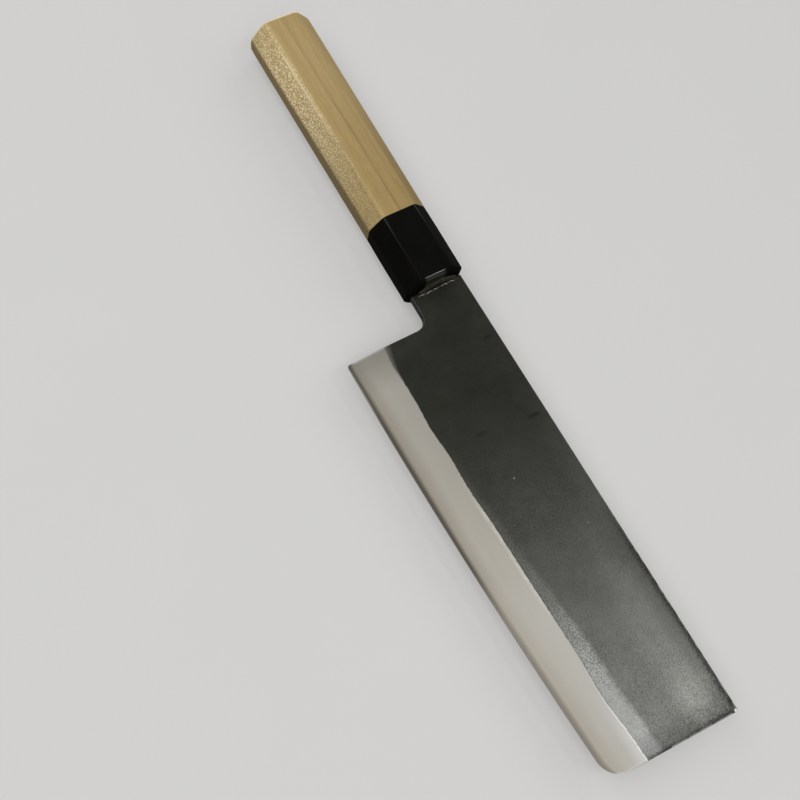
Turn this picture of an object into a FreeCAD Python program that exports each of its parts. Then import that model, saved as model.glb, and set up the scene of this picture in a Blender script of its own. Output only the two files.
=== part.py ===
import FreeCAD, Part
import math
import os

# Nakiri kitchen knife, lying on its left side.
# A three-layer blade with a hidden tang, a horn ferrule and an octagonal wooden grip.
# Millimetres. X runs along the handle's axis from the butt to the tip, Y from the cutting edge to
# the spine, and Z up, square to the blade. While the pieces are made, x = 0 is the ferrule's front
# face, y = 0 the handle's axis and z = 0 the middle of the blade.

# Blade outline
blade_length = 165.0          # heel to tip corner
neck_length = 12.7            # ferrule to heel
spine_root_height = 10.6      # spine above the handle's axis, at the ferrule
spine_tip_height = 13.3       # spine above the handle's axis, at the tip
neck_drop = 10.45             # underside of the neck below the handle's axis
heel_drop = 43.8              # heel corner below the handle's axis
edge_rise = 7.2               # edge at the tip above the edge at the heel
edge_belly = 1.55             # depth of the edge's arc below its chord
tip_rake = 4.0                # degrees that the tip line leans back towards the edge
heel_round = 1.0
notch_round = 4.6
tip_round = 8.5
tip_corner_round = 0.8

# Blade section
spine_root_thickness = 3.8
spine_tip_thickness = 1.8
face_thinning = 0.012         # thickness lost for each millimetre below the spine
core_root_thickness = 0.6
core_tip_thickness = 0.28
edge_thickness = 0.06
bevel_width_heel = 14.4
bevel_width_middle = 14.9
bevel_width_tip = 14.2

# Tang, hidden in the handle
tang_length = 85.0
tang_height_offset = 1.0      # middle of the tang above the handle's axis
tang_end_height = 8.0
tang_end_thickness = 2.4
tang_core_end_thickness = 0.4
tang_end_round = 1.5

# Handle, an octagon that widens towards the butt
ferrule_length = 29.3
grip_length = 95.0
handle_front_width = 23.4
handle_butt_width = 25.6
handle_thickness = 19.7
facet_front_rise = 5.9        # height that each slanted facet takes, at the ferrule's face
facet_butt_rise = 7.0         # the same at the butt
facet_angle = 49.6            # degrees between a slanted facet and the broad flat
ferrule_nose_length = 1.2     # slope round the ferrule's front face
ferrule_nose_depth = 1.5
butt_chamfer = 0.8

# Joints between the handle's pieces
ferrule_side_wall = 3.1       # horn beside the tenon
ferrule_front_wall = 7.2      # horn in front of the tenon, pierced by the mouth
tenon_wall = 1.6              # wood beside the tang's hole
tenon_thickness = 12.0
mouth_end_room = 1.75         # resin above and below the tang
mouth_corner_room = 1.38      # resin at the tang's corners
seal_bead = 1.2               # height of the resin in front of the ferrule's face
seal_bead_slope = 1.4         # how far the bead draws in
glue_gap = 0.1                # around the tenon and at its end
seal_gap = 0.05               # around the resin plug
tang_gap = 0.15               # around the tang in the burnt-in hole
tang_end_gap = 3.0            # hole beyond the tang's end

# Room for cutting tools beyond the pieces they cut
margin = 6.0

# Sizes that follow
handle_length = ferrule_length + grip_length
blade_end = neck_length + blade_length
socket_height = handle_front_width - 2 * ferrule_side_wall
tenon_height = socket_height - 2 * glue_gap
tenon_length = ferrule_length - ferrule_front_wall - glue_gap
tang_root_height = tenon_height - 2 * (tenon_wall + tang_gap)
mouth_height = tang_root_height + 2 * mouth_end_room
# The mouth is the oval of that height that passes outside the tang's corners.
mouth_corner_share = math.sqrt(1 - (tang_root_height / mouth_height) ** 2)
mouth_thickness = (spine_root_thickness + 2 * mouth_corner_room) / mouth_corner_share


def vec(x, y, z=0.0):
    return FreeCAD.Vector(x, y, z)


def between(start, end, share):
    """The value at a share of the way from start to end."""
    return start + (end - start) * share


def solid_between(ring_a, ring_b):
    """A solid with flat sides between two rings of corners that match one to one."""
    count = len(ring_a)
    rings = [ring_a, ring_b]
    for k in range(count):
        n = (k + 1) % count
        rings.append([ring_a[k], ring_a[n], ring_b[n], ring_b[k]])
    faces = [Part.Face(Part.makePolygon(ring + ring[:1])) for ring in rings]
    shell = Part.makeShell(faces)
    shell.sewShape()
    solid = Part.Solid(shell)
    if solid.Volume < 0:
        solid.reverse()
    return solid


def oval(x, height, thickness):
    """A closed oval wire across the handle at x, round the tang's middle."""
    middle = vec(x, tang_height_offset)
    ellipse = Part.Ellipse(middle + vec(0, height / 2), middle + vec(0, 0, thickness / 2), middle)
    return Part.Wire(ellipse.toShape())


def oval_bar(start, end, height, thickness):
    """A straight oval bar along X, from start to end."""
    return Part.Face(oval(start, height, thickness)).extrude(vec(end - start, 0))


# Blade

def tip_x(y):
    """Where the raked tip line is at a height y."""
    return blade_end - math.tan(math.radians(tip_rake)) * (spine_tip_height - y)


def blade_arcs():
    """Three points each, from heel to tip, of the cutting edge and of the bevel line."""
    tip_low = edge_rise - heel_drop
    tip_bevel = tip_low + bevel_width_tip
    heel = vec(neck_length, -heel_drop)
    tip = vec(tip_x(tip_low), tip_low)
    middle = (heel + tip) / 2 - vec(0, edge_belly)
    bevel_tip = vec(tip_x(tip_bevel), tip_bevel)
    bevel = [heel + vec(0, bevel_width_heel), middle + vec(0, bevel_width_middle), bevel_tip]
    return [heel, middle, tip], bevel


def curve_height(points):
    """The height y at any x on the shallow parabola through three points."""
    a, b, c = points

    def height(x):
        from_a = a.y * (x - b.x) * (x - c.x) / ((a.x - b.x) * (a.x - c.x))
        from_b = b.y * (x - a.x) * (x - c.x) / ((b.x - a.x) * (b.x - c.x))
        from_c = c.y * (x - a.x) * (x - b.x) / ((c.x - a.x) * (c.x - b.x))
        return from_a + from_b + from_c
    return height


def spine_height(x):
    return between(spine_root_height, spine_tip_height, x / blade_end)


def half_face(x, y):
    """Half the thickness of the blade or tang at a point of its flat faces."""
    if x < 0:
        at_spine = between(spine_root_thickness, tang_end_thickness, -x / tang_length)
        spine = spine_root_height
    else:
        at_spine = between(spine_root_thickness, spine_tip_thickness, x / blade_end)
        spine = spine_height(x)
    return (at_spine - face_thinning * (spine - y)) / 2


def half_core(x, y):
    """Half the thickness of the core layer, which is the same from edge to spine."""
    if x < 0:
        return between(core_root_thickness, tang_core_end_thickness, -x / tang_length) / 2
    return between(core_root_thickness, core_tip_thickness, x / blade_end) / 2


def blade_blank():
    """The blade's outline with its neck and tang, as a thick plate."""
    edge, bevel = blade_arcs()
    tang_root_low = tang_height_offset - tang_root_height / 2
    tang_end_low = tang_height_offset - tang_end_height / 2
    tang_root_high = tang_root_low + tang_root_height
    tang_end_high = tang_end_low + tang_end_height
    before_edge = [vec(-tang_length, tang_end_high), vec(-tang_length, tang_end_low), vec(0, tang_root_low)]
    before_edge += [vec(0, -neck_drop), vec(neck_length, -neck_drop), edge[0]]
    after_edge = [edge[2], vec(blade_end, spine_tip_height), vec(0, spine_root_height)]
    after_edge += [vec(0, tang_root_high), before_edge[0]]
    outline = Part.makePolygon(before_edge).Edges + [Part.Arc(*edge).toShape()]
    outline += Part.makePolygon(after_edge).Edges
    plate = Part.Face(Part.Wire(outline))
    plate.translate(vec(0, 0, -spine_root_thickness))
    blank = plate.extrude(vec(0, 0, 2 * spine_root_thickness))
    rounds = [(before_edge[0], tang_end_round), (before_edge[1], tang_end_round)]
    rounds += [(before_edge[4], notch_round), (edge[0], heel_round)]
    rounds += [(edge[2], tip_round), (after_edge[1], tip_corner_round)]
    for corner, radius in rounds:
        blank = round_corner(blank, corner, radius)
    return blank


def round_corner(plate, corner, radius):
    """The plate with its upright edge at a corner rounded."""
    def off(edge):
        middle = edge.CenterOfMass
        return math.hypot(middle.x - corner.x, middle.y - corner.y)
    upright = [edge for edge in plate.Edges if abs(edge.tangentAt(edge.FirstParameter).z) > 0.999]
    return plate.makeFillet(radius, [min(upright, key=off)])


def slab(lower, upper):
    """The space between two heights given as functions of x and y, over the blade and the tang."""
    low = -heel_drop - margin
    high = spine_tip_height + margin
    spans = [(-tang_length - margin, 0.0), (0.0, blade_end + margin)]
    halves = []
    for start, end in spans:
        rings = []
        for x in (start, end):
            corners = [(low, lower), (high, lower), (high, upper), (low, upper)]
            rings.append([vec(x, y, height(x, y)) for y, height in corners])
        halves.append(solid_between(*rings))
    return halves[0].fuse(halves[1]).removeSplitter()


def bevel_cutter():
    """What grinding takes off the right side, a band along the edge below the bevel line."""
    edge_at, bevel_at = [curve_height(points) for points in blade_arcs()]
    overreach = 0.3
    stations = 5
    wires = []
    for k in range(stations):
        x = between(0.0, blade_end + margin, k / (stations - 1))
        line = vec(x, bevel_at(x), half_face(x, bevel_at(x)))
        edge = vec(x, edge_at(x), edge_thickness / 2)
        inner = line + (line - edge) * overreach
        outer = edge - (line - edge) * overreach
        top = spine_root_thickness + margin
        ring = [inner, outer, vec(x, outer.y, top), vec(x, inner.y, top)]
        wires.append(Part.makePolygon(ring + ring[:1]))
    return Part.makeLoft(wires, True, False)


def mirrored(shape):
    """The shape on the other side of the blade's middle plane."""
    return shape.mirror(vec(0, 0, 0), vec(0, 0, 1))


def core_steel(blank):
    """Hard middle layer, from the cutting edge to the spine and back to the tang's end."""
    cutter = bevel_cutter()

    def under(x, y):
        return -half_core(x, y)
    return blank.common(slab(under, half_core)).cut(cutter).cut(mirrored(cutter))


def right_cladding(blank):
    """Soft iron layer on the right face, which ends in a feather edge above the core's strip."""
    return blank.common(slab(half_core, half_face)).cut(bevel_cutter())


# Handle

def octagon(x, inset=0.0):
    """The eight corners of the handle's section at x, with every side moved in by an inset."""
    share = -x / handle_length
    width = between(handle_front_width, handle_butt_width, share) / 2
    thick = handle_thickness / 2
    rise = between(facet_front_rise, facet_butt_rise, share)
    lean = math.radians(facet_angle)
    # Distance of a slanted facet from the axis, along its own normal.
    facet = width * math.sin(lean) + (thick - rise) * math.cos(lean) - inset
    side = width - inset
    flat = thick - inset
    side_z = (facet - side * math.sin(lean)) / math.cos(lean)
    flat_y = (facet - flat * math.cos(lean)) / math.sin(lean)
    quarter = [(side, side_z), (flat_y, flat)]
    upper = quarter + [(-y, z) for y, z in reversed(quarter)]
    ring = upper + [(y, -z) for y, z in reversed(upper)]
    return [vec(x, y, z) for y, z in ring]


def ferrule():
    """Horn collar with a sloped nose, an oval socket behind and an oval mouth in front."""
    nose = -ferrule_nose_length
    body = solid_between(octagon(-ferrule_length), octagon(nose))
    tip = solid_between(octagon(nose), octagon(0.0, ferrule_nose_depth))
    socket = oval_bar(-ferrule_length, -ferrule_front_wall, socket_height, tenon_thickness + 2 * glue_gap)
    mouth = oval_bar(-ferrule_front_wall, 0.0, mouth_height, mouth_thickness)
    return body.fuse(tip).removeSplitter().cut(socket).cut(mouth)


def handle_grip():
    """Wooden grip with a chamfered butt, an oval tenon and a tapered hole for the tang."""
    chamfer_start = butt_chamfer - handle_length
    body = solid_between(octagon(chamfer_start), octagon(-ferrule_length))
    butt = solid_between(octagon(-handle_length, butt_chamfer), octagon(chamfer_start))
    tenon = oval_bar(-ferrule_length, tenon_length - ferrule_length, tenon_height, tenon_thickness)
    whole = body.fuse(butt).fuse(tenon).removeSplitter()
    return whole.cut(tang_hole())


def tang_hole():
    """Tapered rectangular hole that clears the tang all round and beyond its end."""
    root = (0.0, tang_root_height, spine_root_thickness)
    end = (-tang_length - tang_end_gap, tang_end_height, tang_end_thickness)
    rings = []
    for x, height, thickness in (root, end):
        half = thickness / 2 + tang_gap
        low = tang_height_offset - height / 2 - tang_gap
        high = tang_height_offset + height / 2 + tang_gap
        rings.append([vec(x, low, -half), vec(x, high, -half), vec(x, high, half), vec(x, low, half)])
    return solid_between(*rings)


def tang_seal(blade):
    """Resin plug round the tang in the ferrule's mouth, with a low bead on each face of the blade."""
    height = mouth_height - 2 * seal_gap
    thickness = mouth_thickness - 2 * seal_gap
    plug = oval_bar(-ferrule_front_wall, 0.0, height, thickness)
    rim = oval(seal_bead, height - 2 * seal_bead_slope, thickness - 2 * seal_bead_slope)
    bead = Part.makeLoft([oval(0.0, height, thickness), rim], True, True)
    return plug.fuse(bead).removeSplitter().cut(blade)


def build():
    """Every piece by name, moved so that the origin is the middle of the knife's box, underneath."""
    blank = blade_blank()
    core = core_steel(blank)
    right = right_cladding(blank)
    left = mirrored(right)
    pieces = {
        "core_steel": core,
        "right_cladding": right,
        "left_cladding": left,
        "tang_seal": tang_seal(core.fuse([right, left])),
        "ferrule": ferrule(),
        "handle_grip": handle_grip(),
    }
    box = Part.makeCompound(list(pieces.values())).optimalBoundingBox(False, False)
    shift = vec(-box.Center.x, -box.Center.y, -box.ZMin)
    for shape in pieces.values():
        shape.translate(shift)
    print("ferrule's face, on the handle's axis, at", shift)
    return pieces


os.makedirs("parts", exist_ok=True)
for node, shape in build().items():
    shape.exportStep("parts/" + node + ".step")
    print(node, len(shape.Solids), "solid", shape.isValid(), round(shape.Volume, 1), "mm3")
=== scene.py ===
# %% [markdown]
# # A nakiri knife
# The packed model is the fixed frame: six plain solids that are right in size and place. This lesson
# dresses each of them with a finer surface, worked out from formulas, and with a finish made of nodes.

# %% Load the frame
import bmesh
import bpy
import numpy as np
from mathutils import Matrix, Quaternion, Vector


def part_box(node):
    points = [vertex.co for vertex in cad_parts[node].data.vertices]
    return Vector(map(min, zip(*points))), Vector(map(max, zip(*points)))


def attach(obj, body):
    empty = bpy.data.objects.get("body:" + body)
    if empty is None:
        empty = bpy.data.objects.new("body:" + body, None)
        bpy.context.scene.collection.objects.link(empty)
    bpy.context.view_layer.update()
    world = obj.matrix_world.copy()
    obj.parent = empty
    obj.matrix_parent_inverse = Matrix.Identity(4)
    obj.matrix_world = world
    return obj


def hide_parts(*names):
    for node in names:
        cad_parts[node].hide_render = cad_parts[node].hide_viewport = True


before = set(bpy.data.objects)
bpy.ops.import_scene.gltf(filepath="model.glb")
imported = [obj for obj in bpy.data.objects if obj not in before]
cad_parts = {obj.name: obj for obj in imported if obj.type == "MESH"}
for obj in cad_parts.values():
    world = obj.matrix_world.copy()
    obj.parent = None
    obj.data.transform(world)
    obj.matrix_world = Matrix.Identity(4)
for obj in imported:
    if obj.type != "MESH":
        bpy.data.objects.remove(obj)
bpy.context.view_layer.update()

mm = 0.001
print("nodes in the frame:", sorted(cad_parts))

# %% [markdown]
# ## Where the knife's own axes are
# Every formula below is written in the knife's own axes: x = 0 is the ferrule's front face, y = 0 the
# handle's axis and z = 0 the middle of the blade. The boxes of the nodes say where that point lies in the
# frame, so the pieces need no fitting afterwards.

# %% Knife axes and lengths from the frame
ferrule_low, ferrule_high = [np.array(corner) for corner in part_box("ferrule")]
grip_low, grip_high = [np.array(corner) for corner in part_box("handle_grip")]
core_low, core_high = [np.array(corner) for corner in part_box("core_steel")]
seal_low, seal_high = [np.array(corner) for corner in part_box("tang_seal")]
knife_origin = np.array([ferrule_high[0], *(ferrule_low + ferrule_high)[1:] / 2])
ferrule_length = ferrule_high[0] - ferrule_low[0]
handle_length = ferrule_high[0] - grip_low[0]
handle_thickness = ferrule_high[2] - ferrule_low[2]
blade_end = core_high[0] - ferrule_high[0]
tang_length = ferrule_high[0] - core_low[0]
print("knife origin in the frame, mm:", np.round(knife_origin / mm, 2))

# %% [markdown]
# ## The camera
# The knife is seen from above, over the cutting edge, with the tip towards the lower right. A lens
# fitted to the straight lines of the handle and the blade gives the camera's place and its three axes.
# The camera comes first, because it decides which details show.

# %% Camera
photo_side = 800
focal_pixels = 958.3
sensor_width = 36.0
camera_place = np.array([81.934, -107.476, 325.095]) * mm
camera_right = np.array([0.490019, 0.862495, 0.126423])
camera_down = np.array([0.841645, -0.430354, -0.326235])
camera_forward = np.array([-0.226969, 0.266265, -0.936797])

camera_data = bpy.data.cameras.new("photo_camera")
camera_data.sensor_fit = "HORIZONTAL"
camera_data.sensor_width = sensor_width
camera_data.lens = sensor_width * focal_pixels / photo_side
camera = bpy.data.objects.new("photo_camera", camera_data)
camera_turn = np.eye(4)
camera_turn[:3, :3] = np.stack([camera_right, -camera_down, -camera_forward], axis=1)
camera_turn[:3, 3] = camera_place
camera.matrix_world = Matrix(camera_turn.tolist())
bpy.context.scene.collection.objects.link(camera)
bpy.context.scene.camera = camera
print("lens, mm:", round(camera_data.lens, 2))

# %% [markdown]
# ## Sheets of points become pieces
# A sheet is a grid of points, worked out as one array. Neighbouring points make quads. Sheets that share
# a border are welded there, so a piece made of several sheets comes out as one closed skin. Measures such
# as the distance from the cutting edge ride along as attributes, for the finishes to read.

# %% Piece maker
weld_distance = 0.001 * mm
sharp_angle = np.radians(32)


def quads_of(sheet, start):
    """The quads of a grid of rows by columns whose points are numbered from start."""
    rows, columns = sheet.shape[:2]
    number = start + np.arange(rows * columns).reshape(rows, columns)
    corners = [number[:-1, :-1], number[1:, :-1], number[1:, 1:], number[:-1, 1:]]
    return np.stack(corners, axis=-1).reshape(-1, 4)


def close_skin(mesh, sharp):
    """Merges doubled points, drops squeezed faces and turns every face outwards; counts open edges."""
    work = bmesh.new()
    work.from_mesh(mesh)
    bmesh.ops.remove_doubles(work, verts=work.verts, dist=weld_distance)
    bmesh.ops.dissolve_degenerate(work, edges=work.edges, dist=weld_distance)
    bmesh.ops.recalc_face_normals(work, faces=work.faces)
    open_edges = sum(not edge.is_manifold for edge in work.edges)
    volume = work.calc_volume(signed=True)
    work.to_mesh(mesh)
    work.free()
    mesh.shade_smooth()
    mesh.set_sharp_from_angle(angle=sharp)
    print(mesh.name, len(mesh.polygons), "faces,", open_edges, "open edges,", round(volume / mm**3), "mm3")


def make_piece(name, sheets, measures, node, sharp=sharp_angle):
    """A piece from sheets of points (x, y, z, measures) in knife axes, standing for a node of the frame."""
    starts = np.cumsum([0] + [sheet.shape[0] * sheet.shape[1] for sheet in sheets])
    quads = np.concatenate([quads_of(sheet, start) for sheet, start in zip(sheets, starts)])
    points = np.concatenate([sheet.reshape(-1, sheet.shape[-1]) for sheet in sheets])
    mesh = bpy.data.meshes.new(name)
    mesh.from_pydata((points[:, :3] + knife_origin).tolist(), [], quads.tolist())
    for column, measure in enumerate(measures, start=3):
        layer = mesh.attributes.new(measure, "FLOAT", "POINT")
        layer.data.foreach_set("value", points[:, column].astype(np.float32))
    close_skin(mesh, sharp)
    piece = bpy.data.objects.new(name, mesh)
    bpy.context.scene.collection.objects.link(piece)
    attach(piece, "root")
    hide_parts(node)
    return piece


print("points closer than", weld_distance / mm, "mm are welded")

# %% [markdown]
# ## The blade's lines
# The blade is forged from three layers: hard steel in the middle, soft iron on both sides. Two lines run
# along it, the cutting edge and the bevel line, where the ground bevel meets the black forged face. A
# stone grinds flat but the forged face isn't, so the line dips where that face is low. Both lines are
# parabolas through three points, and the dips are soft bells with a place, a depth and a length.

# %% Outline and section of the blade
neck_length = 12.7 * mm
spine_root_height = 10.6 * mm
spine_tip_height = 13.3 * mm
neck_drop = 10.45 * mm
heel_drop = 43.8 * mm
edge_rise = 7.2 * mm
edge_belly = 1.55 * mm
tip_rake = np.radians(4.0)
heel_round = 1.0 * mm
notch_round = 4.6 * mm
tip_round = 8.5 * mm
tip_corner_round = 0.8 * mm
spine_root_thickness = 3.8 * mm
spine_tip_thickness = 1.8 * mm
face_thinning = 0.012
core_root_thickness = 0.6 * mm
core_tip_thickness = 0.28 * mm
edge_thickness = 0.06 * mm
tang_end_thickness = 2.4 * mm
tang_end_core = 0.4 * mm
bevel_width_heel = 14.4 * mm
bevel_width_middle = 14.9 * mm
bevel_width_tip = 14.2 * mm


def between(start, end, share):
    """The value at a share of the way from start to end."""
    return start + (end - start) * share


def tip_x(y):
    """Where the raked tip line is at a height y."""
    return blade_end - np.tan(tip_rake) * (spine_tip_height - y)


def parabola(points):
    """The height y at any x on the parabola through three points. It is the sum of their heights, each
    times a factor that is 1 at its own point and 0 at the other two."""
    (ax, ay), (bx, by), (cx, cy) = points

    def height(x):
        from_a = ay * (x - bx) * (x - cx) / ((ax - bx) * (ax - cx))
        from_b = by * (x - ax) * (x - cx) / ((bx - ax) * (bx - cx))
        from_c = cy * (x - ax) * (x - bx) / ((cx - ax) * (cx - bx))
        return from_a + from_b + from_c
    return height


heel_corner = np.array([neck_length, -heel_drop])
tip_low = edge_rise - heel_drop
edge_tip = np.array([tip_x(tip_low), tip_low])
edge_middle = (heel_corner + edge_tip) / 2 - [0, edge_belly]
bevel_tip_y = tip_low + bevel_width_tip
bevel_tip = np.array([tip_x(bevel_tip_y), bevel_tip_y])
edge_y = parabola([heel_corner, edge_middle, edge_tip])
bevel_heel = heel_corner + [0, bevel_width_heel]
bevel_middle = edge_middle + [0, bevel_width_middle]
smooth_line_y = parabola([bevel_heel, bevel_middle, bevel_tip])
print("edge at the tip, mm:", np.round(edge_tip / mm, 2))

# %% [markdown]
# ## Uneven lines
# No line on a forged blade is quite straight. The two sides have their own dips, and a ragged trace of
# sine waves with drawn phases goes on top. The seeds are fixed, so the knife is the same at every run.

# %% Dips, ragged traces and thickness
# Each dip is (place along the blade, depth, half length) in mm; a negative depth lifts the line.
right_dips = [(14.0, -0.55, 2.5), (20.0, 0.25, 4.0), (47.0, 0.65, 7.5), (72.0, 0.55, 9.0), (152.0, 0.9, 10.0)]
left_dips = [(33.0, 0.5, 9.0), (64.0, -0.3, 7.0), (108.0, 0.7, 12.0), (140.0, 0.4, 8.0)]
right_seed = 11
left_seed = 23
core_seed = 5


def ragged(x, seed, height, longest, shortest):
    """A small uneven line: eight sine waves from the longest to the shortest length, with drawn phases."""
    draw = np.random.default_rng(seed)
    lengths = np.geomspace(longest, shortest, 8)
    heights = height * (lengths / longest) ** 0.5 / 2
    phases = draw.uniform(0, 2 * np.pi, lengths.size)
    waves = np.sin(2 * np.pi * np.asarray(x)[..., None] / lengths + phases)
    return (waves * heights).sum(axis=-1)


def bevel_line(dips, seed):
    """The bevel line's height y(x): the smooth parabola, less the bells of the dips, plus a ragged trace."""
    places, depths, lengths = np.array(dips).T * mm

    def height(x):
        bells = np.exp(-((np.asarray(x)[..., None] - places) / lengths) ** 2)
        trace = ragged(x, seed, 0.06 * mm, 6 * mm, 0.9 * mm)
        return smooth_line_y(x) - (bells * depths).sum(axis=-1) + trace
    return height


def spine_y(x):
    """The height of the spine, which rises in a straight line from the ferrule to the tip."""
    return between(spine_root_height, spine_tip_height, x / blade_end)


def half_face(x, y):
    """Half the thickness at a point of the forged face; thinner to the tip, to the edge and into the tang."""
    blade_part = between(spine_root_thickness, spine_tip_thickness, x / blade_end)
    tang_part = between(spine_root_thickness, tang_end_thickness, -x / tang_length)
    spine = np.where(x < 0, spine_root_height, spine_y(x))
    return (np.where(x < 0, tang_part, blade_part) - face_thinning * (spine - y)) / 2


def half_core(x):
    """Half the thickness of the steel layer, a little uneven from forging."""
    blade_part = between(core_root_thickness, core_tip_thickness, x / blade_end)
    tang_part = between(core_root_thickness, tang_end_core, -x / tang_length)
    return np.where(x < 0, tang_part, blade_part) / 2 * (1 + ragged(x, core_seed, 0.05, 70 * mm, 12 * mm))


print("dips:", len(right_dips), "on the right,", len(left_dips), "on the left")

# %% [markdown]
# ## The plan of one face of the blade
# Seen from the side, the blade is a four-sided field with a neck on its heel. Guide lines run from heel
# to tip: the edge, the line where the core comes out, the bevel line, a line at the finger notch and the
# spine. Rows of points lie between them, closer together next to a rim, where the metal is rounded over.
# The neck and the tang carry the upper rows on behind the heel.

# %% Rows and columns of the plan
rim_steps = np.array([0.0, 0.04, 0.1, 0.18, 0.28, 0.42, 0.7]) * mm
tang_root_height = 13.5 * mm
tang_end_height = 8.0 * mm
tang_height_offset = 1.0 * mm
shoulder_length = 0.25 * mm


def crowded(length, count, at_start, at_end):
    """Shares from 0 to 1 of a length: even steps, with fine ones at an end that has a rim or a crease."""
    first = rim_steps if at_start else np.zeros(1)
    last = length - (rim_steps if at_end else np.zeros(1))[::-1]
    middle = np.linspace(first[-1], last[0], count)
    return np.concatenate([first[:-1], middle, last[1:]]) / length


column_share = crowded(blade_end - neck_length, 300, True, True)
strip_share = np.linspace(0, 1, 6)
bevel_share = crowded(12 * mm, 14, False, True)
lower_share = crowded(heel_drop - bevel_width_heel - neck_drop - notch_round, 15, True, False)
upper_share = crowded(neck_drop + notch_round + spine_root_height, 24, True, True)


def on_curve(curve, share):
    """Points on a curve y(x), at shares of the way from the heel line to the raked tip line."""
    x = between(neck_length, blade_end, share)
    for _ in range(4):
        x = between(neck_length, tip_x(curve(x)), share)
    return np.stack([x, curve(x)], axis=-1)


def rows_between(lower, upper, share):
    """Rows of points at shares of the way from one guide line to the next."""
    return lower + (upper - lower) * share[:, None, None]


def neck_plan():
    """The upper rows behind the heel: round the finger notch, along the neck, then down to the tang."""
    turn = np.linspace(0, np.pi / 2, 14)
    notch_x = neck_length - notch_round + notch_round * np.cos(turn)
    notch_y = -neck_drop - notch_round + notch_round * np.sin(turn)
    neck_x = np.linspace(notch_x[-1], shoulder_length, 16)[1:]
    front_x = np.concatenate([notch_x, neck_x])
    front_low = np.concatenate([notch_y, np.full(neck_x.size, -neck_drop)])
    tang_share = np.linspace(0, 1, 10)
    tang_half = between(tang_root_height, tang_end_height, tang_share) / 2
    x = np.concatenate([front_x, -tang_length * tang_share])
    low = np.concatenate([front_low, tang_height_offset - tang_half])
    high = np.concatenate([spine_y(front_x), tang_height_offset + tang_half])
    return rows_between(np.stack([x, low], axis=-1), np.stack([x, high], axis=-1), upper_share)


row_shares = [strip_share, bevel_share, lower_share, upper_share]
print("columns:", column_share.size, "rows:", sum(share.size for share in row_shares))

# %% [markdown]
# ## Heights over the plan
# On the bevel, the height grows in a straight line from the edge to the bevel line, as a flat stone
# leaves it. Above the line the forged face follows the blade's taper, with a slow unevenness from the
# hammer, and it comes down to meet the grind where the line dips. Next to the outline the corner is
# rounded over, by a quarter circle of the distance from the rim.

# %% Heights of one side
rim_round = 0.32 * mm
settle_length = 7 * mm
hammer_depth = 0.035 * mm


def hammer_marks(x, y, seed):
    """Slow unevenness of a forged face: ten crossed sine waves, 9 to 30 mm long, with drawn directions."""
    draw = np.random.default_rng(seed)
    lengths = np.geomspace(30 * mm, 9 * mm, 10)
    headings = draw.uniform(0, np.pi, lengths.size)
    phases = draw.uniform(0, 2 * np.pi, lengths.size)
    travel = x[..., None] * np.cos(headings) + y[..., None] * np.sin(headings)
    waves = np.sin(2 * np.pi * travel / lengths + phases)
    return hammer_depth * (waves * (lengths / lengths[0])).mean(axis=-1) * 2


def rim_distance(x, y):
    """Distance in from the spine, the tip line and the outline of heel, notch and neck; large in the tang."""
    to_spine = spine_y(x) - y
    to_tip = (tip_x(y) - x) * np.cos(tip_rake)
    past_x = np.maximum(x - neck_length + notch_round, 0)
    past_y = np.maximum(y + neck_drop + notch_round, 0)
    to_heel = np.hypot(past_x, past_y) - notch_round
    nearest = np.minimum(np.minimum(to_spine, to_tip), to_heel)
    return np.where(x <= 0, 10 * mm, np.maximum(nearest, 0))


def rim_drop(distance, thickness):
    """How far a rounded rim falls below the face: a quarter circle, limited by the layer's thickness."""
    radius = np.minimum(rim_round, 0.45 * thickness)
    short = np.clip(radius - distance, 0, radius)
    return radius - np.sqrt(np.maximum(radius**2 - short**2, 0))


print("rims are rounded by", rim_round / mm, "mm")

# %% [markdown]
# ## Round corners of the outline
# Heel and tip are not sharp corners: the stone takes them round. The plan is bent there, points and all,
# so that its rows and columns stay a grid and the rim stays closed.

# %% Corners of the outline
def round_corner(plan, corner, along_a, along_b, reach):
    """Bends a square corner of the plan into a round one.
    Near the corner a point has two shares, from 0 at the reach to 1 at the corner, along two sides. Each
    share is multiplied by the root of 1 less half the other's square, which turns a square into a disc."""
    sides = np.stack([along_a / np.linalg.norm(along_a), along_b / np.linalg.norm(along_b)], axis=1)
    offsets = (plan - corner) @ np.linalg.inv(sides).T
    share = np.clip(1 - offsets / reach, 0, 1)
    bent = share * np.sqrt(1 - share[..., ::-1] ** 2 / 2)
    return plan + (share - bent) * reach @ sides.T


def slope_at(curve, x):
    """The slope of a curve y(x), from two points close to x."""
    step = 0.01 * mm
    return (curve(x + step) - curve(x - step)) / (2 * step)


def outline_rounds(plan):
    """The plan with its heel corner, lower tip corner and upper tip corner rounded."""
    edge_back = -np.array([1, slope_at(edge_y, edge_tip[0])])
    tip_up = np.array([np.tan(tip_rake), 1])
    half_turn = np.arccos(edge_back @ tip_up / np.linalg.norm(edge_back) / np.linalg.norm(tip_up)) / 2
    spine_end = np.array([blade_end, spine_tip_height])
    spine_back = -np.array([blade_end, spine_tip_height - spine_root_height])
    edge_on = np.array([1, slope_at(edge_y, neck_length)])
    plan = round_corner(plan, edge_tip, edge_back, tip_up, tip_round / np.tan(half_turn))
    plan = round_corner(plan, spine_end, spine_back, -tip_up, tip_corner_round)
    return round_corner(plan, heel_corner, edge_on, np.array([0, 1]), heel_round)


print("tip and heel are rounded by", tip_round / mm, "and", heel_round / mm, "mm")

# %% [markdown]
# ## One side of the blade
# The function below gives the two grids of one side, the field and the neck, with the height of the
# outer face, the height of the seam against the core, and the measures that the finishes read. It is
# called twice, with other dips and other hammer marks, so the two sides of the blade differ a little.

# %% Side maker
blade_measures = ["line_distance", "edge_distance", "rim_distance"]


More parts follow.
